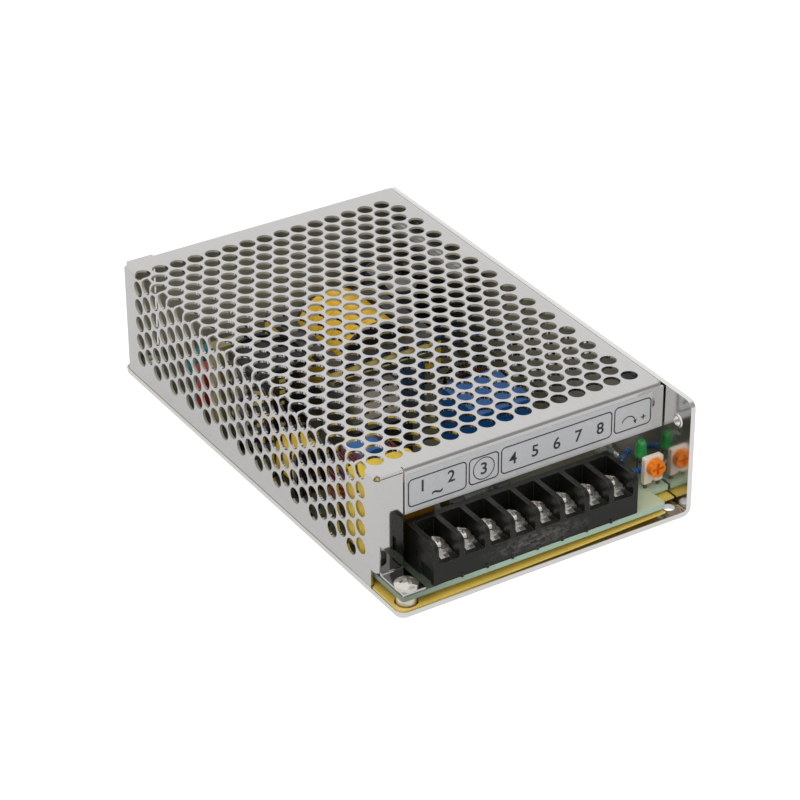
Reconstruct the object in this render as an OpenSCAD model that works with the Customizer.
// Enclosed switching power supply: a folded chassis, a perforated cover
// and an eight-way screw terminal block.
// X points right, Y to the rear and Z up. The underside is at Z = 0 and the case is centred in X and Y.

/* [Case] */
// Width of the case across the terminals
case_w = 97; // [92:0.5:120]
// Length of the case from front to rear
case_l = 159; // [154:0.5:200]
// Height of the case
case_h = 38; // [36:0.5:50]

/* [Chassis] */
// Thickness of the chassis plate
chassis_t = 1.5; // [1:0.1:2]
// Inside radius of the fold between the base and the side wall
chassis_fold_r = 1; // [0.5:0.1:2]
// Radius of the outer corners of the base and the side wall
chassis_corner_r = 2.5; // [1:0.1:4]
// How far the side wall stays below the top of the cover
wall_drop = 1; // [0:0.1:2]
// Diameter of the mounting holes
mount_d = 3; // [2.5:0.1:4]
// Distance of the base mounting holes from the case's left and right faces
mount_side_in = 9.5; // [6.5:0.5:18.5]
// Distance of the base mounting holes from the case's front and rear ends
mount_end_in = 19.5; // [14.5:0.5:34.5]
// Height of the mounting holes in the side wall
side_mount_z = 28.5; // [15:0.5:29]
// Distance of the first side mounting hole from the front edge
side_mount_in = 5.8; // [4:0.1:8]
// Width of the raised collar round a side mounting hole
collar_w = 0.7; // [0.4:0.1:1.2]
// Height of that collar
collar_h = 0.4; // [0.2:0.1:0.5]
// Distance of the corner fixing points from the sides
corner_in_x = 4.5; // [4:0.1:7]
// Distance of the front corner fixing points from the front edge
corner_in_y = 4.2; // [4:0.1:6]
// Diameter of the open corner hole in the base
corner_hole_d = 3.6; // [3:0.1:5]

/* [Cover] */
// Thickness of the cover sheet
cover_t = 0.8; // [0.5:0.1:1]
// Inside radius of the cover's folds
cover_fold_r = 0.6; // [0.3:0.1:1.2]
// Distance of the cover's front face from the front edge of the base
cover_front_in = 12.4; // [11:0.1:14]
// Distance of the cover's rear face from the rear edge of the base
cover_rear_in = 2.2; // [0.5:0.1:3]
// Distance of the cover's side wall from the left edge of the base
cover_side_in = 0.2; // [0.1:0.1:1.5]
// Gap between the cover and the chassis side wall
cover_gap = 0.4; // [0.2:0.1:1]
// Height of the front flange that carries the terminal label
flange_h = 14.5; // [10:0.5:16]
// Width of the upright strip at the front left
strip_w = 8.6; // [7.5:0.1:10]
// Width of the upright strip at the rear left
rear_strip_w = 10; // [8:0.5:16]
// Width of the slit between a strip and a flange
slit_w = 0.5; // [0.3:0.1:1]
// Height of the flange along the side wall
side_flange_h = 5.5; // [4:0.1:6]
// Length of the cut at the lower front of the cover's side wall
wall_cut_l = 3; // [2:0.1:5]
// Thickness of the printed terminal label
label_t = 0.15; // [0.1:0.05:0.3]
// Bare margin of the flange round the label
label_in = 0.7; // [0.4:0.1:1.5]
// Bare margin of the flange at the label's right end
label_right_in = 2.6; // [2:0.1:8]

/* [Perforation] */
// Distance between neighbouring holes in a row
hole_pitch = 6; // [5.4:0.1:8]
// Distance between neighbouring rows of holes
row_pitch = 5.07; // [4.8:0.01:7]
// Diameter of a hole
hole_d = 4.9; // [3:0.1:5.1]
// Distance of the first hole from the folded edge
fold_hole_in = 1.75; // [1.5:0.05:2.2]
// Sheet length that the fold takes up
fold_allow = 0.46; // [0.3:0.02:0.8]
// Distance of the rear row from the rear face
hole_rear_in = 9.6; // [8:0.1:14]
// Least distance of a hole centre from the front face
hole_front_in = 7; // [6:0.1:15]
// Least distance of a hole centre from the right edge
hole_right_in = 5; // [4.5:0.1:8]
// Least distance of a hole centre from the base
hole_foot_in = 7.4; // [5:0.1:12]

/* [Board] */
// Thickness of the circuit board
board_t = 1.6; // [1:0.1:2]
// Height of the standoffs under the board
standoff_h = 2.9; // [2.7:0.1:5]
// Diameter of a standoff
standoff_d = 5.8; // [5:0.1:6.5]
// Gap between the board and the walls
board_gap = 0.4; // [0.2:0.1:1]
// Distance of the board's front edge from the front edge of the base
board_front_in = 0.9; // [0.5:0.1:2]
// Gap between the board and the cover's rear face
board_rear_gap = 1.5; // [0.5:0.1:4]
// Width of the notch at the board's front right corner
notch_w = 6.2; // [5:0.1:7]
// Length of that notch
notch_l = 7.4; // [6:0.1:9]
// Radius of the board's corners
board_corner_r = 1; // [0.5:0.1:2]
// Distance of the rear standoffs from the board's rear edge
rear_standoff_in = 5.5; // [4:0.1:8]
// Distance of the middle standoff from the board's front edge
mid_standoff_in = 34; // [30:0.5:60]
// Thickness of the insulating film
film_t = 0.4; // [0.2:0.1:0.6]
// Distance of the film's front and left edges from the edges of the base
film_edge_in = 0.5; // [0.3:0.1:2]
// Lift of the film at its right side
film_lift = 1.7; // [0.5:0.1:1.8]
// How far the film shows in front of the board inside the notch
film_show = 3; // [1:0.1:4]
// Clearance of the film round a standoff
film_clear = 0.4; // [0.3:0.1:1]

/* [Screws] */
// Diameter of the fixing screws
screw_d = 3; // [2.5:0.1:3]
// Clearance of the holes that the screws pass through, on the diameter
screw_clear = 0.2; // [0.1:0.05:0.4]
// Clearance of the tapped holes that hold the screws, on the diameter
thread_clear = 0.06; // [0.02:0.02:0.1]
// Clearance between round pieces that sit in one another, on the diameter
seat_clear = 0.1; // [0.06:0.02:0.2]
// Head diameter of the screw on the cover's tab
tab_head_d = 6.8; // [6:0.1:7.5]
// Head height of the screw on the cover's tab
tab_head_h = 2.5; // [2:0.1:3]
// Head diameter of the board screws
board_head_d = 5.4; // [5:0.1:6]
// Head height of the board screws
board_head_h = 2; // [1.5:0.1:2.5]
// Head diameter of the countersunk screws in the side wall
sunk_head_d = 5.2; // [4.5:0.1:6]
// Distance of the countersunk screws from the cover's front and rear faces
sunk_in = 18; // [12:0.5:30]

/* [Terminal block] */
// Distance between neighbouring terminals
way_pitch = 8.25; // [8:0.05:8.5]
// Thickness of the barriers
barrier_t = 1.6; // [1.2:0.1:1.8]
// Depth of the block from front to rear
block_l = 15; // [14.5:0.1:15.3]
// Height of the terminal floor above the board
floor_h = 6.4; // [5:0.1:7]
// Height of the barriers above the board
barrier_h = 12.8; // [12:0.1:14]
// Thickness of the rear wall
block_rear_t = 2; // [1.5:0.1:2.5]
// Radius of the barriers' upper front corner
barrier_r = 2.4; // [1:0.1:4]
// Offset of the block from the middle of the case
block_x = -3.3; // [-3.6:0.1:-2.5]
// Distance of the block's front face from the board's front edge
block_in = 0.2; // [0.1:0.1:0.5]
// Radius of the small ribs at the foot of the front face
rib_r = 0.5; // [0.3:0.05:0.7]
// Height of those ribs
rib_h = 0.9; // [0.5:0.1:1.5]
// Distance of the screws from the block's front face
screw_in = 7; // [6.5:0.1:7.5]

/* [Terminal screws] */
// Thickness of the contact plates
plate_t = 0.8; // [0.5:0.1:1]
// Width of the contact plates
plate_w = 6.2; // [5.5:0.1:6.4]
// Length of the flat part of a contact plate
plate_l = 7; // [7:0.1:9]
// Width of the lip at the front of a contact plate
lip_w = 2.9; // [2:0.1:5]
// Length of that lip
lip_l = 1.6; // [1:0.1:2]
// Side of the square clamp washers
washer_w = 5.8; // [5.4:0.1:6]
// Thickness of the clamp washers
washer_t = 0.6; // [0.6:0.1:1.2]
// Diameter of the terminal screws
tscrew_d = 3; // [2.5:0.1:3.2]
// Clearance of the bores round the terminal screws, on the diameter
tscrew_clear = 0.1; // [0.04:0.02:0.2]
// Head diameter of the terminal screws
thead_d = 5.4; // [5:0.1:5.6]
// Head height of the terminal screws
thead_h = 2.1; // [1.8:0.1:2.4]
// Length of a terminal screw under its washer
tscrew_l = 5.6; // [5:0.1:5.8]
// Width of the slots in the screw heads
slot_w = 0.9; // [0.6:0.1:1.2]
// Depth of the slots in the screw heads
slot_deep = 1.1; // [0.8:0.1:1.3]

/* [Front controls] */
// Distance of the trimmer's axis from the side wall
trimmer_wall = 4.6; // [4:0.1:5]
// Height of the trimmer's legs above the board
trimmer_leg_h = 1.6; // [1:0.1:4]
// Height of the rotor's axis above the lower edge of the trimmer's plate
trimmer_z = 5.3; // [3.4:0.1:5.6]
// Width of the trimmer's plate
trimmer_w = 6.4; // [6:0.1:6.8]
// Height of the trimmer's plate
trimmer_h = 8.4; // [6.5:0.1:9.2]
// Thickness of the trimmer's plate
trimmer_t = 1.6; // [1.2:0.1:2]
// Distance of the trimmer's plate behind the board's notch
trimmer_in = 1.5; // [1.2:0.1:2.5]
// Diameter of the trimmer's rotor
rotor_d = 5.4; // [4.5:0.1:5.8]
// Thickness of the rotor's head
rotor_t = 2; // [1.5:0.1:2.2]
// Diameter of the rotor's pivot
rotor_pin_d = 1.8; // [1.4:0.1:2.4]
// Clearance round the rotor's pivot, on the diameter
rotor_clear = 0.1; // [0.04:0.02:0.2]
// Gap between the rotor's head and the trimmer's body
rotor_gap = 0.1; // [0.05:0.05:0.3]
// Number of grips round the rotor
rotor_grips = 6; // [4:1:8]
// Radius of a grip
rotor_grip_r = 0.7; // [0.4:0.1:0.9]
// Diameter of the indicator lamp
led_d = 3; // [2:0.1:4]
// Height of the indicator's body
led_h = 5.3; // [4:0.1:6]
// Height of the indicator's legs above the board
led_leg_h = 7.2; // [5:0.1:10]
// Distance of the indicator's axis from the side wall
led_wall = 4.4; // [3.5:0.1:5]
// Distance of the indicator behind the board's front edge
led_in = 15.4; // [15:0.1:20]

/* [Inner parts] */
// Clear height above the tallest inner parts
headroom = 3; // [1.5:0.1:6]
// Width of the box capacitor at the front left
box_cap_w = 20; // [14:0.5:21]
// Length of that capacitor
box_cap_l = 15; // [10:0.5:17]
// Gap between that capacitor's body and the board
box_cap_lift = 2; // [0.5:0.1:4]
// How far that capacitor stays below the tallest inner parts
box_cap_drop = 3.7; // [0:0.1:8]
// Outer diameter of the line choke's core
choke_d = 20; // [16:0.5:20]
// Inner diameter of that core
choke_bore = 11; // [8:0.5:12]
// Width of that core
choke_w = 8; // [6:0.5:9]
// Thickness of the choke's windings
choke_wire_t = 1.3; // [0.8:0.1:1.6]
// Angle that one winding covers, in degrees
choke_angle = 126; // [90:2:140]
// Thickness of the choke's base
choke_base_t = 1.5; // [1:0.1:3]
// Width of the filter coil
coil_w = 12; // [9:0.5:13]
// Length of the filter coil
coil_l = 15; // [12:0.5:20]
// Height of the filter coil
coil_h = 14; // [12:0.5:24]
// Thickness of the filter coil's bobbin flanges
coil_flange_t = 1.6; // [1:0.1:2.5]
// How far the bobbin flanges stand out of the winding
coil_flange_out = 1.2; // [0.5:0.1:2]
// Diameter of the bulk capacitor
bulk_d = 22; // [18:0.5:23]
// Width of the bridge rectifier
bridge_w = 19; // [15:0.5:22]
// Thickness of the bridge rectifier
bridge_t = 4.6; // [3:0.1:5]
// Height of the bridge rectifier's body
bridge_h = 14; // [10:0.5:18]
// Diameter of the disc capacitors
disc_d = 9; // [6:0.5:10]
// Thickness of the disc capacitors
disc_t = 4; // [3:0.1:5]
// Height of the legs of parts that stand on wires
leg_h = 2.5; // [1:0.1:4]
// Diameter of those legs
leg_d = 0.7; // [0.5:0.1:0.8]
// Length of the fuse
fuse_l = 20; // [18:0.5:24]
// Diameter of the fuse's glass tube
fuse_d = 5; // [4:0.1:6]
// Length of the fuse's end caps
fuse_cap_l = 5; // [4:0.1:6]
// Wall thickness of the end caps and clips
fuse_wall = 0.4; // [0.3:0.1:0.6]
// Height of the fuse's axis above the board
fuse_z = 9; // [6:0.5:12]
// Width of the relay
relay_w = 19; // [14:0.5:22]
// Length of the relay
relay_l = 20; // [12:0.5:22]
// Height of the relay
relay_h = 20; // [14:0.5:24]
// Width of the transformer's core
core_w = 37; // [32:0.5:38]
// Length of the transformer's core
core_l = 38; // [34:0.5:40]
// Height of the transformer's core
core_h = 12; // [10:0.5:14]
// Gap between the transformer's winding and the outer legs of its core
winding_gap = 0.5; // [0.3:0.1:2]
// Diameter of the core's middle leg
core_leg_d = 12; // [10:0.5:12.5]
// Thickness of the core's outer legs and yokes
core_yoke = 5.5; // [4.5:0.1:6]
// Thickness of the bobbin's walls
bobbin_t = 1.2; // [0.8:0.1:1.6]
// Height of the tape band round the core
band_h = 8; // [6:0.5:10]
// Thickness of that band
band_t = 0.3; // [0.2:0.1:0.5]
// Thickness of the heatsink plates
sink_t = 1.5; // [1:0.1:2.5]
// Width of the heatsinks' upper flange
sink_flange = 7; // [4:0.5:9]
// Length of the heatsink in front of the transformer
front_sink_l = 34; // [28:0.5:40]
// Length of the heatsink beside the side wall
side_sink_l = 46; // [30:0.5:50]
// Gap between the side heatsink's flange and the ends of the side screws
side_sink_gap = 0.6; // [0.3:0.1:1]
// Distance of its middle from the board's rear edge
side_sink_at = 31; // [27:0.5:60]
// Width of the power semiconductors
chip_w = 10; // [9:0.1:11]
// Thickness of their moulded bodies
chip_t = 4.4; // [3.5:0.1:5]
// Height of their moulded bodies
chip_h = 15; // [12:0.5:16]
// Height of their bodies above the board
chip_lift = 6; // [4:0.5:8]
// Width of their legs
chip_leg_w = 0.8; // [0.5:0.1:1.2]
// Diameter of the output capacitors
out_cap_d = 10; // [8:0.5:10.5]
// Height of the output capacitors
out_cap_h = 20; // [15:0.5:24]
// Number of output capacitors
out_caps = 3; // [1:1:3]
// Distance between neighbouring output capacitors
out_cap_pitch = 11.5; // [11:0.1:14]
// Gap between the output capacitors and the rectifier on the side heatsink
out_cap_gap = 1; // [0.5:0.1:2]
// Distance of the rear output capacitor from the board's rear edge
out_cap_in = 12; // [8:0.5:14]
// Outer diameter of the output choke
ring_d = 20; // [16:0.5:22]
// Inner diameter of the output choke's core
ring_bore = 10; // [8:0.5:12]
// Height of the output choke's core
ring_h = 8; // [6:0.5:10]
// Thickness of the output choke's winding
ring_wire_t = 1.2; // [0.8:0.1:1.6]
// Angle that the output choke's winding covers, in degrees
ring_angle = 300; // [240:10:320]
// Width of the two film capacitors
film_cap_w = 11; // [8:0.5:13]
// Thickness of the two film capacitors
film_cap_t = 4.6; // [3:0.1:5.5]
// Height of the tall film capacitor
tall_film_h = 25; // [18:0.5:26]
// Height of the low film capacitor
low_film_h = 14; // [9:0.5:18]
// Diameter of the varistor
varistor_d = 14; // [10:0.5:16]
// Thickness of the varistor
varistor_t = 4.5; // [3.5:0.1:6]
// Width of the small chips
dip_w = 6.4; // [5:0.1:8]
// Length of the small chips
dip_l = 9.6; // [7:0.1:12]
// Height of the small chips above the board
dip_h = 3.4; // [2.5:0.1:5]
// Width of the small chips' legs
dip_leg_w = 0.5; // [0.3:0.05:0.8]
// Number of legs on each side of a small chip
dip_legs = 4; // [2:1:6]
// Height of the feet under the boxed parts
foot_h = 0.6; // [0.3:0.1:1]
// Diameter of a resistor's body
resistor_d = 2.3; // [1.8:0.1:3]
// Length of a resistor's body
resistor_l = 6.3; // [5:0.1:8]
// Length of a resistor's leads beyond its body
resistor_lead = 1.6; // [1:0.1:3]
// Diameter of the resistors' leads
lead_d = 0.6; // [0.4:0.1:0.8]
// Diameter of the small glass fuse
mini_fuse_d = 3.6; // [2.5:0.1:4]
// Length of the small glass fuse
mini_fuse_l = 10; // [8:0.5:12]
// Height of the small glass fuse's axis above the board
mini_fuse_z = 6.5; // [6:0.5:12]

/* [Hidden] */
$fn = 48;
// How far a cutter reaches past the piece that it cuts
past = 1;
// Number of terminals, each with a screw and a washer of its own
ways = 8;

// Places of the inner parts, measured from the board's front left corner
box_cap_at = [10.9, 23.5];
choke_at = [14.4, 41];
coil_at = [7.2, 65.5];
bulk_at = [12, 92];
bridge_at = [29, 58];
disc_at = [[31, 36], [31, 48]];
fuse_at = [37, 21];
relay_at = [60.2, 50.4];
front_sink_at = [36, 73.3];
tall_film_at = [8, 108];
low_film_at = [8, 116];
varistor_at = [9, 123];

// Places of the inner parts, measured from the board's front right corner, with a turn for each resistor
ring_at = [22, 73];
mini_fuse_at = [10.5, 24.5];
resistor_at = [[19.5, 18, 12], [4.1, 22.5, 36], [6.8, 13.4, 0], [31, 24, 0]];

// Distance of the transformer's middle from the board's front edge
transformer_in = 101;

// Places of the inner parts, measured from the board's rear corners
dip_at = [[26, 22], [37, 17]];

base_top = chassis_t;
board_z = base_top + standoff_h;
board_top = board_z + board_t;
tab_top = board_top + cover_t;

left = -case_w / 2;
right = case_w / 2;
front = -case_l / 2;
rear = case_l / 2;
wall_x = right - chassis_t;
wall_top = case_h - wall_drop;

cover_out_r = cover_fold_r + cover_t;
cover_l = left + cover_side_in;
cover_r = wall_x - cover_gap;
cover_f = front + cover_front_in;
cover_b = rear - cover_rear_in;
cover_in_z = case_h - cover_t;
flange_l = cover_l + strip_w + slit_w;
rear_flange_l = cover_l + rear_strip_w + slit_w;
strip_z = tab_top + cover_fold_r;
side_flange_z = case_h - cover_out_r - side_flange_h;
sunk_z = side_flange_z + side_flange_h / 2;
sunk_y = [cover_f + sunk_in, cover_b - sunk_in];
sunk_head_h = (sunk_head_d - screw_d) / 2;

board_l = cover_l + cover_t + board_gap;
board_r = wall_x - board_gap;
board_f = front + board_front_in;
board_b = cover_b - cover_t - board_rear_gap;
notch_y = board_f + notch_l;
notch_x = board_r - notch_w;

mount_dx = case_w - 2 * mount_side_in;
mount_dy = case_l - 2 * mount_end_in;
corner_x = case_w / 2 - corner_in_x;
tab_at = [-corner_x, front + corner_in_y];
right_standoff_x = wall_x - chassis_fold_r - standoff_d / 2 - seat_clear;
inner_standoffs = [
    [-corner_x, board_b - rear_standoff_in],
    [right_standoff_x, board_b - rear_standoff_in],
    [right_standoff_x, board_f + mid_standoff_in],
];
all_standoffs = concat([tab_at], inner_standoffs);

first_row = cover_b - hole_rear_in;
rows = floor((first_row - cover_f - hole_front_in) / row_pitch) + 1;
hole_reach = cover_out_r + cover_t / 4;

block_w = ways * way_pitch + barrier_t;
block_f = board_f + block_in;
block_b = block_f + block_l;
floor_z = board_top + floor_h;
barrier_z = board_top + barrier_h;
screw_y = block_f + screw_in;
plate_z = floor_z + plate_t;
washer_z = plate_z + washer_t;
way_x = [for (i = [0 : ways - 1]) block_x + (i - (ways - 1) / 2) * way_pitch];

trimmer_x = wall_x - trimmer_wall;
trimmer_y = notch_y + trimmer_in;
trimmer_axis_z = board_top + trimmer_leg_h + trimmer_z;
fuse_cap_r = (fuse_d + seat_clear) / 2 + fuse_wall;
tall_h = cover_in_z - headroom - board_top;
winding_d = core_w - 2 * core_yoke - 2 * winding_gap;
transformer_z = winding_d / 2 + bobbin_t + leg_h;
bobbin_l = core_l - 2 * core_yoke - seat_clear;
side_sink_x = cover_r - 2 * cover_t - side_sink_gap - sink_flange;
out_cap_x = side_sink_x - chip_t - out_cap_gap - out_cap_d / 2;
bulk_side_x = board_l + bulk_at[0] + bulk_d / 2;
transformer_x = (bulk_side_x + out_cap_x - out_cap_d / 2) / 2;

// Solid box between two opposite corners
module box(from, to) {
    translate(from) cube(to - from);
}

// Prism along X of an outline drawn in Y and Z
module span_x(from, to) {
    translate([from, 0, 0]) rotate([90, 0, 90]) linear_extrude(to - from) children();
}

// Prism along Y of an outline drawn in X and Z
module span_y(from, to) {
    translate([0, to, 0]) rotate([90, 0, 0]) linear_extrude(to - from) children();
}

// Prism along Z of an outline drawn in X and Y
module span_z(from, to) {
    translate([0, 0, from]) linear_extrude(to - from) children();
}

// Quarter of a ring that joins two sheets of thickness t, turned by a number of degrees
module fold(r, t, turn) {
    rotate(turn) intersection() {
        difference() {
            circle(r + t);
            circle(r);
        }
        square(r + t);
    }
}

// What rounding takes off a corner at the origin whose sides run along +X and +Y
module corner_waste(r) {
    difference() {
        translate([-past, -past]) square(r + past);
        translate([r, r]) circle(r);
    }
}

// Rectangle centred at the origin with rounded corners
module round_rect(w, l, r) {
    difference() {
        square([w, l], center = true);
        for (sx = [0, 1], sy = [0, 1]) mirror([sx, 0]) mirror([0, sy])
            translate([-w / 2, -l / 2]) corner_waste(r);
    }
}

// Children placed on the board, measured from its front left corner
module on_board(at) {
    translate([board_l + at[0], board_f + at[1], board_top]) children();
}

// Children placed on the board, measured from its front right corner
module on_board_right(at) {
    translate([board_r - at[0], board_f + at[1], board_top]) children();
}

// Half section of a domed screw head that sits on Z = 0
module dome_section(d, h) {
    edge = h * 0.45;
    dome = h - edge;
    square([d / 2, edge]);
    intersection() {
        translate([0, edge]) square([d / 2, dome]);
        translate([0, h - dome_r(d, dome)]) circle(dome_r(d, dome));
    }
}

// Radius of the sphere that domes a head of diameter d by height h
function dome_r(d, h) = (d * d / 4 + h * h) / (2 * h);

// Screw with a domed head on Z = 0, a shank below it and a cross in its head
module pan_screw(d, l, head_d, head_h) {
    cross_l = head_d * 0.62;
    difference() {
        union() {
            rotate_extrude() dome_section(head_d, head_h);
            translate([0, 0, -l]) cylinder(d = d, h = l + past / 2);
        }
        for (turn = [0, 90]) rotate(turn)
            translate([-cross_l / 2, -slot_w / 2, head_h - slot_deep]) cube([cross_l, slot_w, head_h]);
    }
}

// Upright can with a crimped groove near its foot and a flat rim round its top
module can(d, h) {
    groove = d * 0.04;
    rim = d * 0.07;
    foot = d * 0.16;
    rotate_extrude() difference() {
        square([d / 2, h]);
        translate([d / 2 + groove, foot]) circle(2 * groove);
        translate([0, h - groove]) square([d / 2 - rim, groove + past]);
        translate([d / 2, h]) rotate(180) corner_waste(groove);
    }
}

// Flat disc on two legs, standing across Y
module disc_on_legs(d, t) {
    round_r = t * 0.48;
    translate([0, 0, leg_h + d / 2]) rotate([90, 0, 0]) rotate_extrude() {
        translate([0, -t / 2]) square([d / 2 - round_r, t]);
        intersection() {
            translate([d / 2 - round_r, 0]) circle(round_r);
            translate([d / 2 - round_r, -t / 2]) square([round_r, t]);
        }
    }
    for (side = [-1, 1]) translate([side * d / 4, 0, 0]) cylinder(d = leg_d, h = leg_h + d / 4);
}

// Box with rounded upright edges on four small feet
module box_on_feet(w, l, h) {
    edge_r = min(w, l) * 0.08;
    span_z(foot_h, h) round_rect(w, l, edge_r);
    for (sx = [-1, 1], sy = [-1, 1])
        translate([sx * (w / 2 - edge_r - foot_h), sy * (l / 2 - edge_r - foot_h), 0])
            cylinder(r = foot_h, h = 2 * foot_h);
}

// Moulded power semiconductor with three legs, its back on Y = 0 and its body toward -Y
module power_chip() {
    half = chip_leg_w / 2;
    box([-chip_w / 2, -chip_t, chip_lift], [chip_w / 2, 0, chip_lift + chip_h]);
    for (i = [-1 : 1]) translate([i * chip_w / 4, -chip_t / 2, 0])
        box([-half, -half, 0], [half, half, chip_lift + half]);
}

// Section of the chassis: base, fold and side wall
module chassis_section() {
    out_r = chassis_fold_r + chassis_t;
    translate([left, 0]) square([case_w - out_r, chassis_t]);
    translate([wall_x, out_r]) square([chassis_t, wall_top - out_r]);
    translate([right - out_r, out_r]) fold(chassis_fold_r, chassis_t, -90);
}

// Children at each of the four mounting holes in the base
module base_mounts() {
    for (sx = [-1, 1], sy = [-1, 1]) translate([sx * mount_dx / 2, sy * mount_dy / 2, 0]) children();
}

module chassis_holes() {
    base_mounts() translate([0, 0, -past]) cylinder(d = mount_d, h = base_top + 2 * past);
    translate([corner_x, tab_at[1], -past]) cylinder(d = corner_hole_d, h = base_top + 2 * past);
    for (i = [0, 1]) translate([wall_x - past, front + side_mount_in + i * mount_dy, side_mount_z])
        rotate([0, 90, 0]) cylinder(d = mount_d, h = chassis_t + 2 * past);
    for (y = sunk_y) translate([right, y, sunk_z]) rotate([0, -90, 0]) {
        cylinder(d1 = sunk_head_d + screw_clear, d2 = screw_d + screw_clear, h = sunk_head_h);
        cylinder(d = screw_d + screw_clear, h = chassis_t + past);
    }
}

module chassis() {
    color("gainsboro") difference() {
        union() {
            span_y(front, rear) chassis_section();
            for (i = [0, 1]) translate([wall_x, front + side_mount_in + i * mount_dy, side_mount_z])
                rotate([0, -90, 0])
                    cylinder(d1 = mount_d + 2 * collar_w, d2 = mount_d + collar_w, h = collar_h);
        }
        for (end = [0, 1]) mirror([0, end, 0]) {
            span_z(-past, base_top + past) translate([left, front]) corner_waste(chassis_corner_r);
            span_x(wall_x - past, right + past) translate([front, wall_top]) mirror([0, 1])
                corner_waste(chassis_corner_r);
        }
        chassis_holes();
    }
}

// Section of the cover: left wall, top and the short flange along the chassis wall
module cover_section() {
    translate([cover_l, base_top]) square([cover_t, case_h - cover_out_r - base_top]);
    translate([cover_l + cover_out_r, case_h - cover_out_r]) fold(cover_fold_r, cover_t, 90);
    translate([cover_l + cover_out_r, cover_in_z]) square([cover_r - cover_l - 2 * cover_out_r, cover_t]);
    translate([cover_r - cover_out_r, case_h - cover_out_r]) fold(cover_fold_r, cover_t, 0);
    translate([cover_r - cover_t, side_flange_z]) square([cover_t, side_flange_h]);
}

// Front of the cover: label flange, upright strip and the tab that lies on the board
module cover_front() {
    fold_y = cover_f + cover_out_r;
    tab_f = block_f;
    span_x(flange_l, cover_r - cover_out_r) translate([fold_y, case_h - cover_out_r])
        fold(cover_fold_r, cover_t, 90);
    box([flange_l, cover_f, case_h - flange_h], [cover_r, cover_f + cover_t, case_h - cover_out_r]);
    box([cover_l + cover_out_r, cover_f, cover_in_z], [cover_l + strip_w, fold_y, case_h]);
    span_z(strip_z, case_h - cover_out_r) translate([cover_l + cover_out_r, fold_y])
        fold(cover_fold_r, cover_t, 180);
    span_x(cover_l + cover_out_r, cover_l + strip_w) {
        translate([cover_f, strip_z]) square([cover_t, cover_in_z - slit_w / 2 - strip_z]);
        translate([cover_f - cover_fold_r, strip_z]) fold(cover_fold_r, cover_t, -90);
        translate([tab_f, board_top]) square([cover_f - cover_fold_r - tab_f, cover_t]);
    }
}

// Rear of the cover: wide flange and the upright strip beside it
module cover_rear() {
    fold_y = cover_b - cover_out_r;
    span_x(rear_flange_l, cover_r - cover_out_r) translate([fold_y, case_h - cover_out_r])
        fold(cover_fold_r, cover_t, 0);
    box([rear_flange_l, cover_b - cover_t, base_top + slit_w], [cover_r, cover_b, case_h - cover_out_r]);
    box([cover_l + cover_out_r, fold_y, cover_in_z], [cover_l + rear_strip_w, cover_b, case_h]);
    span_z(base_top, case_h - cover_out_r) translate([cover_l + cover_out_r, fold_y])
        fold(cover_fold_r, cover_t, 90);
    box([cover_l + cover_out_r, cover_b - cover_t, base_top],
        [cover_l + rear_strip_w, cover_b, cover_in_z - slit_w / 2]);
}

// Staggered holes that run over the fold from the top into the left wall
module cover_holes() {
    for (row = [0 : rows - 1]) {
        y = first_row - row * row_pitch;
        shift = (row % 2) * hole_pitch / 2;
        for (x = [cover_l + fold_hole_in + shift : hole_pitch : cover_r - hole_right_in])
            translate([x, y, case_h - hole_reach]) cylinder(d = hole_d, h = hole_reach + past);
        top_hole = case_h - hole_pitch + fold_hole_in + shift - fold_allow;
        for (z = [top_hole : -hole_pitch : base_top + hole_foot_in]) translate([cover_l - past, y, z])
            rotate([0, 90, 0]) cylinder(d = hole_d, h = hole_reach + past);
    }
}

module cover() {
    color("silver") difference() {
        union() {
            span_y(cover_f + cover_out_r, cover_b - cover_out_r) cover_section();
            cover_front();
            cover_rear();
        }
        cover_holes();
        box([cover_l - past, cover_f, base_top - past],
            [cover_l + cover_out_r, cover_f + wall_cut_l, strip_z]);
        translate([tab_at[0], tab_at[1], board_top - past])
            cylinder(d = screw_d + screw_clear, h = cover_t + 2 * past);
        for (y = sunk_y) translate([cover_r - cover_t - past, y, sunk_z]) rotate([0, 90, 0])
            cylinder(d = screw_d + thread_clear, h = cover_t + 2 * past);
    }
}

module terminal_label() {
    color("whitesmoke")
        box([flange_l + label_in, cover_f - label_t, case_h - flange_h + label_in],
            [cover_r - cover_out_r - label_right_in, cover_f, case_h - cover_out_r - label_in]);
}

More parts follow.
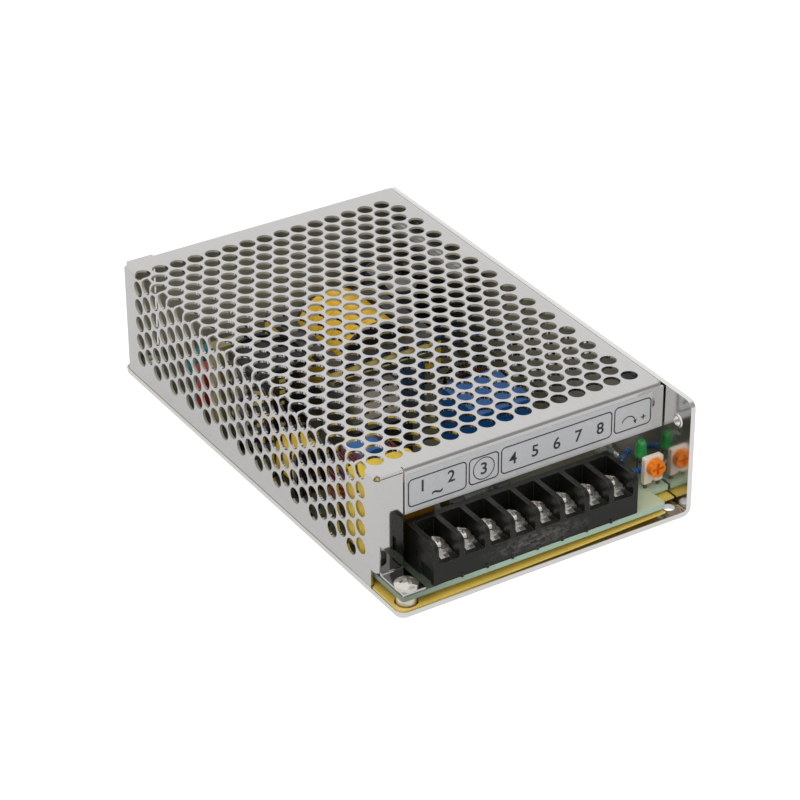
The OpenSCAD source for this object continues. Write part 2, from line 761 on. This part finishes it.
// Thin film that curves up gently from its left edge to its right edge, with slots for the inner standoffs
// and a wider front part that reaches past the cover's left wall
module insulating_film() {
    film_l = left + film_edge_in;
    film_w = board_r - film_l;
    film_f = front + film_edge_in;
    curve_r = (film_w * film_w + film_lift * film_lift) / (2 * film_lift);
    notch_end = notch_y - film_show;
    wide_end = cover_f + wall_cut_l - film_clear;
    slot_l = standoff_d + 2 * film_clear;
    color("gold") difference() {
        span_y(film_f, board_b) translate([film_l, base_top + curve_r]) intersection() {
            difference() {
                circle(curve_r, $fn = 2400);
                circle(curve_r - film_t, $fn = 2400);
            }
            translate([0, -curve_r]) square([film_w, film_lift + 2 * film_t]);
        }
        box([notch_x - film_clear, film_f - past, base_top - past], [board_r + past, notch_end, board_z]);
        box([film_l - past, wide_end, base_top - past], [board_l, board_b + past, board_z]);
        span_z(base_top - past, board_z) translate([film_l, film_f]) corner_waste(chassis_corner_r);
        for (at = all_standoffs) translate([at[0], at[1], base_top - past])
            cylinder(d = slot_l, h = standoff_h + past);
        for (at = inner_standoffs) translate([at[0], at[1], base_top - past])
            mirror([at[0] < 0 ? 1 : 0, 0, 0])
                box([0, -slot_l / 2, 0], [slot_l, slot_l / 2, standoff_h + past]);
        base_mounts() translate([0, 0, base_top - past])
            cylinder(d = mount_d + 4 * film_clear, h = standoff_h + past);
    }
}

module circuit_board() {
    color("darkseagreen") span_z(board_z, board_top) difference() {
        translate([board_l, board_f]) square([board_r - board_l, board_b - board_f]);
        translate([notch_x, board_f - past]) square([notch_w + past, notch_l + past]);
        translate([board_l, board_f]) corner_waste(board_corner_r);
        translate([notch_x, board_f]) rotate(90) corner_waste(board_corner_r);
        translate([board_l, board_b]) rotate(-90) corner_waste(board_corner_r);
        translate([board_r, board_b]) rotate(180) corner_waste(board_corner_r);
        for (at = all_standoffs) translate(at) circle(d = screw_d + screw_clear);
    }
}

module board_standoffs() {
    color("lightgray") for (at = all_standoffs) translate([at[0], at[1], base_top]) difference() {
        cylinder(d = standoff_d, h = standoff_h);
        translate([0, 0, -past]) cylinder(d = screw_d + thread_clear, h = standoff_h + 2 * past);
    }
}

module board_screws() {
    color("lightgray") for (at = inner_standoffs) translate([at[0], at[1], board_top])
        pan_screw(screw_d, board_t + standoff_h, board_head_d, board_head_h);
}

module tab_screw() {
    color("lightgray") translate([tab_at[0], tab_at[1], tab_top])
        pan_screw(screw_d, cover_t + board_t + standoff_h, tab_head_d, tab_head_h);
}

// Countersunk screws through the chassis wall into the cover's side flange
module side_screws() {
    cross_l = sunk_head_d * 0.6;
    color("lightgray") for (y = sunk_y) translate([right, y, sunk_z]) rotate([0, -90, 0]) difference() {
        union() {
            cylinder(d1 = sunk_head_d, d2 = screw_d, h = sunk_head_h);
            translate([0, 0, sunk_head_h])
                cylinder(d = screw_d, h = right - cover_r + 2 * cover_t - sunk_head_h);
        }
        for (turn = [0, 90]) rotate(turn)
            translate([-cross_l / 2, -slot_w / 2, -past]) cube([cross_l, slot_w, past + sunk_head_h / 2]);
    }
}

// Outline of the terminal block seen from its end
module block_outline() {
    difference() {
        translate([block_f, board_top]) square([block_l, barrier_h]);
        translate([block_f, barrier_z]) rotate(-90) corner_waste(barrier_r);
    }
}

module terminal_block() {
    bay_w = way_pitch - barrier_t;
    key_deep = barrier_t / 3;
    color([0.13, 0.13, 0.13]) difference() {
        union() {
            span_x(block_x - block_w / 2, block_x + block_w / 2) block_outline();
            for (i = [1 : ways - 1]) translate([(way_x[i - 1] + way_x[i]) / 2, block_f, board_top])
                cylinder(r = rib_r, h = rib_h);
        }
        for (x = way_x) {
            box([x - bay_w / 2, block_f - past, floor_z],
                [x + bay_w / 2, block_b - block_rear_t, barrier_z + past]);
            translate([x, screw_y, board_top + past / 2])
                cylinder(d = tscrew_d + tscrew_clear, h = floor_h + past);
        }
        for (side = [-1, 1]) translate([block_x + side * block_w / 2, 0, 0])
            box([-key_deep, block_f + barrier_t, board_top - past],
                [key_deep, block_f + screw_in, floor_z - barrier_t]);
    }
}

// Flat plate under each screw, with a stepped lip that slopes down at its front
module contact_plates() {
    lip_f = screw_y - plate_l / 2;
    lip_z = floor_z + plate_t / 2;
    color("lightgray") for (x = way_x) difference() {
        union() {
            box([x - plate_w / 2, lip_f, floor_z], [x + plate_w / 2, lip_f + plate_l, plate_z]);
            span_x(x - lip_w / 2, x + lip_w / 2) polygon([
                [lip_f - lip_l, floor_z],
                [lip_f + plate_t, floor_z],
                [lip_f + plate_t, lip_z],
                [lip_f - lip_l / 5, lip_z],
                [lip_f - lip_l, floor_z + plate_t / 8],
            ]);
        }
        translate([x, screw_y, floor_z - past])
            cylinder(d = tscrew_d + tscrew_clear, h = plate_t + 2 * past);
    }
}

module clamp_washer(i) {
    color("silver") translate([way_x[i], screw_y, plate_z]) difference() {
        span_z(0, washer_t) round_rect(washer_w, washer_w, washer_w * 0.08);
        translate([0, 0, -past]) cylinder(d = tscrew_d + tscrew_clear, h = washer_t + 2 * past);
    }
}

module terminal_screw(i) {
    color("silver") translate([way_x[i], screw_y, washer_z]) difference() {
        pan_screw(tscrew_d, tscrew_l + washer_t, thead_d, thead_h);
        translate([-thead_d, -slot_w / 2, thead_h - slot_deep / 2]) cube([2 * thead_d, slot_w, thead_h]);
    }
}

// Upright plate on two legs, with the pivot hole for its rotor
module trimmer_body() {
    leg_at = trimmer_w * 0.35;
    leg_w = trimmer_w * 0.14;
    color("linen") translate([trimmer_x, trimmer_y, board_top]) {
        for (side = [-1, 1]) translate([side * leg_at, 0, 0])
            box([-leg_w / 2, trimmer_t * 0.3, 0], [leg_w / 2, trimmer_t * 0.7, trimmer_leg_h + past / 2]);
        translate([0, 0, trimmer_leg_h]) difference() {
            box([-trimmer_w / 2, 0, 0], [trimmer_w / 2, trimmer_t, trimmer_h]);
            translate([0, -past, 0]) rotate([-90, 0, 0])
                cylinder(r = rotor_grip_r, h = trimmer_t + 2 * past);
            for (side = [0, 1]) mirror([side, 0, 0]) span_y(-past, trimmer_t + past)
                translate([trimmer_w / 2, trimmer_h]) rotate(180) corner_waste(rotor_grip_r);
            translate([0, -past, trimmer_z]) rotate([-90, 0, 0])
                cylinder(d = rotor_pin_d + rotor_clear, h = trimmer_t + 2 * past);
        }
    }
}

// Rotor with grips round its edge and a cross slot in its face
module trimmer_rotor() {
    cross_l = rotor_d * 0.7;
    color("darkorange") translate([trimmer_x, trimmer_y - rotor_gap, trimmer_axis_z]) rotate([90, 0, 0])
        difference() {
            union() {
                cylinder(d = rotor_d, h = rotor_t);
                translate([0, 0, -rotor_gap - trimmer_t])
                    cylinder(d = rotor_pin_d, h = trimmer_t + rotor_gap + past / 2);
            }
            for (i = [0 : rotor_grips - 1]) rotate(i * 360 / rotor_grips + 15)
                translate([rotor_d / 2 + rotor_grip_r / 2, 0, rotor_t * 0.3])
                    cylinder(r = rotor_grip_r, h = rotor_t);
            for (turn = [0, 90]) rotate(turn) translate([-cross_l / 2, -slot_w / 2, rotor_t - slot_deep])
                cube([cross_l, slot_w, rotor_t]);
        }
}

// Round-nosed lamp on two legs
module indicator_lamp() {
    rim_h = led_d * 0.3;
    rim_d = led_d * 1.22;
    leg_gap = led_d * 0.42;
    color("limegreen") translate([wall_x - led_wall, board_f + led_in, board_top]) {
        translate([0, 0, led_leg_h]) {
            cylinder(d = rim_d, h = rim_h);
            cylinder(d1 = rim_d, d2 = led_d, h = led_h - led_d / 2);
            translate([0, 0, led_h - led_d / 2]) sphere(d = led_d);
        }
        for (side = [-1, 1]) translate([side * leg_gap, 0, 0])
            cylinder(d = lead_d, h = led_leg_h + rim_h / 2);
    }
}

module box_capacitor() {
    color("gold") on_board(box_cap_at) {
        span_z(box_cap_lift, tall_h - box_cap_drop) round_rect(box_cap_w, box_cap_l, box_cap_l * 0.08);
        for (side = [-1, 1]) translate([side * box_cap_w * 0.38, 0, 0])
            cylinder(d = leg_d, h = 2 * box_cap_lift);
    }
}

// Place of the upright ring of the line choke, with its axis along Y
module choke_place() {
    on_board(choke_at) translate([0, 0, choke_base_t + choke_d / 2 + choke_wire_t])
        rotate([90, 0, 0]) children();
}

module line_choke_core() {
    color("dimgray") choke_place() difference() {
        cylinder(d = choke_d, h = choke_w, center = true);
        cylinder(d = choke_bore, h = choke_w + 2 * past, center = true);
    }
}

// Winding over part of a ring core, seen as one band of wire
module ring_winding(d, bore, w, wire_t, angle) {
    ring_w = (d - bore) / 2;
    rotate(-angle / 2) rotate_extrude(angle = angle) translate([(d + bore) / 4, 0]) difference() {
        round_rect(ring_w + 2 * wire_t, w + 2 * wire_t, wire_t);
        square([ring_w + seat_clear, w + seat_clear], center = true);
    }
}

module line_choke_windings() {
    color([0.55, 0.2, 0.12]) choke_place() for (side = [0, 180]) rotate(side)
        ring_winding(choke_d, choke_bore, choke_w, choke_wire_t, choke_angle);
}

// Base plate with two cheeks that hold the ring core from below
module line_choke_base() {
    base_w = choke_d * 0.8;
    base_l = choke_w + 3 * choke_wire_t;
    cheek_w = choke_d * 0.3;
    cheek_t = choke_wire_t * 0.8;
    color([0.15, 0.15, 0.15]) on_board(choke_at) difference() {
        union() {
            span_z(0, choke_base_t) round_rect(base_w, base_l, choke_base_t / 2);
            box([-cheek_w / 2, -choke_w / 2 - cheek_t, 0],
                [cheek_w / 2, choke_w / 2 + cheek_t, choke_d * 0.3]);
        }
        translate([0, 0, choke_base_t + choke_d / 2 + choke_wire_t]) rotate([90, 0, 0])
            cylinder(d = choke_d + seat_clear, h = choke_w + seat_clear, center = true);
    }
}

module filter_coil_bobbin() {
    color("cornsilk") on_board(coil_at) difference() {
        union() {
            for (end = [-1, 1]) translate([0, end * (coil_l - coil_flange_t) / 2, 0])
                span_y(-coil_flange_t / 2, coil_flange_t / 2) translate([0, coil_h / 2])
                    round_rect(coil_w, coil_h, coil_flange_out);
            translate([0, -coil_l / 2, coil_h / 2]) rotate([-90, 0, 0])
                cylinder(d = coil_w / 2, h = coil_l);
        }
        translate([0, -coil_l / 2 - past, coil_h / 2]) rotate([-90, 0, 0])
            cylinder(d = coil_w / 4, h = coil_l + 2 * past);
    }
}

module filter_coil_winding() {
    w = coil_w - 2 * coil_flange_out;
    h = coil_h - 2 * coil_flange_out;
    half_l = coil_l / 2 - coil_flange_t;
    color("goldenrod") on_board(coil_at) difference() {
        span_y(-half_l, half_l) translate([0, coil_h / 2]) round_rect(w, h, w / 4);
        translate([0, -half_l - past, coil_h / 2]) rotate([-90, 0, 0])
            cylinder(d = coil_w / 2 + seat_clear, h = 2 * (half_l + past));
    }
}

module bulk_capacitor() {
    color([0.12, 0.12, 0.13]) on_board(bulk_at) can(bulk_d, tall_h);
}

// Flat moulded rectifier on four legs, with one cut corner
module bridge_rectifier() {
    cut = bridge_t * 0.6;
    top = leg_h + bridge_h;
    color([0.16, 0.16, 0.17]) on_board(bridge_at) {
        span_y(-bridge_t / 2, bridge_t / 2) difference() {
            translate([-bridge_w / 2, leg_h]) square([bridge_w, bridge_h]);
            polygon([[bridge_w / 2, top - cut], [bridge_w / 2, top], [bridge_w / 2 - cut, top]]);
        }
        for (i = [-1.5 : 1.5]) translate([i * bridge_w / 4, 0, 0]) cylinder(d = leg_d, h = leg_h + leg_d);
    }
}

module disc_capacitors() {
    color("steelblue") for (at = disc_at) on_board(at) rotate(90) disc_on_legs(disc_d, disc_t);
}

module fuse_tube() {
    color([0.85, 0.9, 0.9, 0.4]) on_board(fuse_at)
        translate([-fuse_l / 2 + fuse_wall, 0, fuse_z]) rotate([0, 90, 0])
        difference() {
            cylinder(d = fuse_d, h = fuse_l - 2 * fuse_wall);
            translate([0, 0, -past]) cylinder(d = fuse_d - 2 * fuse_wall, h = fuse_l + past);
        }
}

module fuse_caps() {
    color("silver") on_board(fuse_at) for (side = [0, 1]) mirror([side, 0, 0])
        translate([fuse_l / 2 - fuse_cap_l, 0, fuse_z]) rotate([0, 90, 0]) difference() {
            cylinder(r = fuse_cap_r, h = fuse_cap_l);
            translate([0, 0, -past]) cylinder(d = fuse_d + seat_clear, h = fuse_cap_l - fuse_wall + past);
        }
}

// Spring clips that stand on the board and hold the fuse's caps from below
module fuse_clips() {
    clip_l = fuse_cap_l * 0.7;
    inner_r = fuse_cap_r + seat_clear / 2;
    outer_r = inner_r + fuse_wall;
    color("silver") on_board(fuse_at) for (side = [0, 1]) mirror([side, 0, 0])
        translate([fuse_l / 2 - fuse_cap_l / 2, 0, 0]) span_x(-clip_l / 2, clip_l / 2) {
            translate([0, fuse_z]) difference() {
                circle(outer_r);
                circle(inner_r);
                translate([-2 * outer_r, inner_r * 0.6]) square(4 * outer_r);
            }
            translate([-fuse_wall, 0]) square([2 * fuse_wall, fuse_z - inner_r - fuse_wall / 2]);
        }
}

module relay() {
    color("royalblue") on_board(relay_at) box_on_feet(relay_w, relay_l, relay_h);
}

// Place of the transformer's winding axis, midway between the large can and the output capacitors
module transformer_place() {
    translate([transformer_x, board_f + transformer_in, board_top + transformer_z]) children();
}

module transformer_core() {
    win_l = core_l - 2 * core_yoke;
    color([0.2, 0.2, 0.2]) transformer_place() {
        difference() {
            box([-core_w / 2, -core_l / 2, -core_h / 2], [core_w / 2, core_l / 2, core_h / 2]);
            box([-core_w / 2 + core_yoke, -win_l / 2, -core_h],
                [core_w / 2 - core_yoke, win_l / 2, core_h]);
        }
        translate([0, -win_l / 2 - past / 2, 0]) rotate([-90, 0, 0])
            cylinder(d = core_leg_d, h = win_l + past);
    }
}

// Tube with two end flanges and a rail of pins under each
module transformer_bobbin() {
    bore_d = core_leg_d + seat_clear;
    tube_d = bore_d + 2 * bobbin_t;
    half_l = bobbin_l / 2;
    foot_z = -transformer_z;
    rail_w = core_w - 2 * core_yoke - seat_clear;
    color([0.15, 0.15, 0.15]) transformer_place() difference() {
        union() {
            translate([0, -half_l, 0]) rotate([-90, 0, 0]) cylinder(d = tube_d, h = bobbin_l);
            for (end = [0, 1]) mirror([0, end, 0]) {
                translate([0, -half_l, 0]) rotate([-90, 0, 0]) cylinder(d = winding_d, h = bobbin_t);
                box([-rail_w / 2, -half_l, foot_z],
                    [rail_w / 2, -half_l + 3 * bobbin_t, -core_h / 2 - bobbin_t]);
            }
        }
        translate([0, -half_l - past, 0]) rotate([-90, 0, 0]) cylinder(d = bore_d, h = bobbin_l + 2 * past);
        translate([0, -half_l + bobbin_t, 0]) rotate([-90, 0, 0]) difference() {
            cylinder(d = winding_d + seat_clear, h = bobbin_l - 2 * bobbin_t);
            translate([0, 0, -past]) cylinder(d = tube_d, h = bobbin_l + past);
        }
    }
}

module transformer_winding() {
    half_l = bobbin_l / 2 - bobbin_t;
    inner_d = core_leg_d + 2 * bobbin_t + 2 * seat_clear;
    color("gold") transformer_place() translate([0, -half_l, 0]) rotate([-90, 0, 0]) difference() {
        cylinder(d = winding_d, h = 2 * half_l);
        translate([0, 0, -past]) cylinder(d = inner_d, h = 2 * (half_l + past));
    }
}

// Tape that binds the two halves of the core together
module transformer_band() {
    color("goldenrod") transformer_place() span_z(-band_h / 2, band_h / 2) difference() {
        square([core_w + 2 * band_t, core_l + 2 * band_t], center = true);
        square([core_w, core_l], center = true);
    }
}

// Angle plate of a heatsink: an upright plate on X = 0 and a flange on top toward +X
module sink_section(h) {
    out_r = 2 * sink_t;
    square([sink_t, h - out_r]);
    translate([out_r, h - out_r]) fold(sink_t, sink_t, 90);
    translate([out_r, h - sink_t]) square([sink_flange - out_r, sink_t]);
}

module front_heatsink() {
    color("lightgray") on_board(front_sink_at) rotate(-90)
        span_y(-front_sink_l / 2, front_sink_l / 2) sink_section(tall_h);
}

module power_transistor() {
    color([0.14, 0.14, 0.15]) on_board(front_sink_at) translate([0, -sink_t, 0]) power_chip();
}

module side_heatsink() {
    middle = board_b - side_sink_at;
    color("lightgray") translate([side_sink_x, middle, board_top])
        span_y(-side_sink_l / 2, side_sink_l / 2) sink_section(tall_h);
}

module output_rectifier() {
    color([0.14, 0.14, 0.15]) translate([side_sink_x, board_b - side_sink_at, board_top])
        rotate(-90) power_chip();
}

module output_capacitors() {
    color([0.1, 0.12, 0.2]) for (i = [0 : out_caps - 1])
        translate([out_cap_x, board_b - out_cap_in - i * out_cap_pitch, board_top])
            can(out_cap_d, out_cap_h);
}

module output_choke_core() {
    color("darkslategray") on_board_right(ring_at) translate([0, 0, ring_wire_t]) difference() {
        cylinder(d = ring_d - 2 * ring_wire_t, h = ring_h);
        translate([0, 0, -past]) cylinder(d = ring_bore, h = ring_h + 2 * past);
    }
}

module output_choke_winding() {
    color("peru") on_board_right(ring_at) translate([0, 0, ring_wire_t + ring_h / 2])
        ring_winding(ring_d - 2 * ring_wire_t, ring_bore, ring_h, ring_wire_t, ring_angle);
}

module tall_film_capacitor() {
    color("darkkhaki") on_board(tall_film_at) box_on_feet(film_cap_w, film_cap_t, tall_film_h);
}

module low_film_capacitor() {
    color("firebrick") on_board(low_film_at) box_on_feet(film_cap_w, film_cap_t, low_film_h);
}

module varistor() {
    color("teal") on_board(varistor_at) disc_on_legs(varistor_d, varistor_t);
}

// Small moulded chips with a row of legs along each side
module small_chips() {
    color([0.12, 0.12, 0.12]) for (at = dip_at) translate([board_l + at[0], board_b - at[1], board_top]) {
        span_z(foot_h, dip_h) round_rect(dip_w, dip_l, foot_h);
        for (side = [-1, 1], i = [0 : dip_legs - 1])
            translate([side * dip_w / 2, (i - (dip_legs - 1) / 2) * dip_l / dip_legs, 0])
                box([-dip_leg_w, -dip_leg_w / 2, 0], [dip_leg_w, dip_leg_w / 2, dip_h / 2]);
    }
}

// Half section of a resistor's body, thicker at both ends
module resistor_section() {
    end_l = resistor_l * 0.22;
    translate([0, -resistor_l / 2]) difference() {
        square([resistor_d / 2, resistor_l]);
        translate([resistor_d * 0.42, end_l]) square([resistor_d, resistor_l - 2 * end_l]);
    }
}

module resistors() {
    reach = resistor_l / 2 + resistor_lead;
    axis_z = leg_h + resistor_d / 2;
    color("dodgerblue") for (at = resistor_at) on_board_right(at) rotate(at[2]) {
        translate([0, 0, axis_z]) rotate([0, 90, 0]) rotate_extrude() resistor_section();
        translate([-reach, 0, axis_z]) rotate([0, 90, 0]) cylinder(d = lead_d, h = 2 * reach);
        for (side = [-1, 1]) translate([side * reach, 0, 0]) {
            cylinder(d = lead_d, h = axis_z);
            translate([0, 0, axis_z]) sphere(d = lead_d);
        }
    }
}

// Small glass fuse on two wires, its axis along Y
module mini_fuse() {
    color([0.85, 0.88, 0.88]) on_board_right(mini_fuse_at) {
        translate([0, -mini_fuse_l / 2, mini_fuse_z]) rotate([-90, 0, 0])
            cylinder(d = mini_fuse_d, h = mini_fuse_l);
        for (end = [-1, 1]) translate([0, end * mini_fuse_l * 0.4, 0]) cylinder(d = leg_d, h = mini_fuse_z);
    }
}

chassis();
cover();
insulating_film();
circuit_board();
board_standoffs();
board_screws();
tab_screw();
side_screws();
terminal_label();
terminal_block();
contact_plates();
for (i = [0 : ways - 1]) {
    clamp_washer(i);
    terminal_screw(i);
}
trimmer_body();
trimmer_rotor();
indicator_lamp();
box_capacitor();
line_choke_core();
line_choke_windings();
line_choke_base();
filter_coil_bobbin();
filter_coil_winding();
bulk_capacitor();
bridge_rectifier();
disc_capacitors();
fuse_tube();
fuse_caps();
fuse_clips();
relay();
transformer_core();
transformer_bobbin();
transformer_winding();
transformer_band();
front_heatsink();
power_transistor();
side_heatsink();
output_rectifier();
output_capacitors();
output_choke_core();
output_choke_winding();
tall_film_capacitor();
low_film_capacitor();
varistor();
small_chips();
resistors();
mini_fuse();
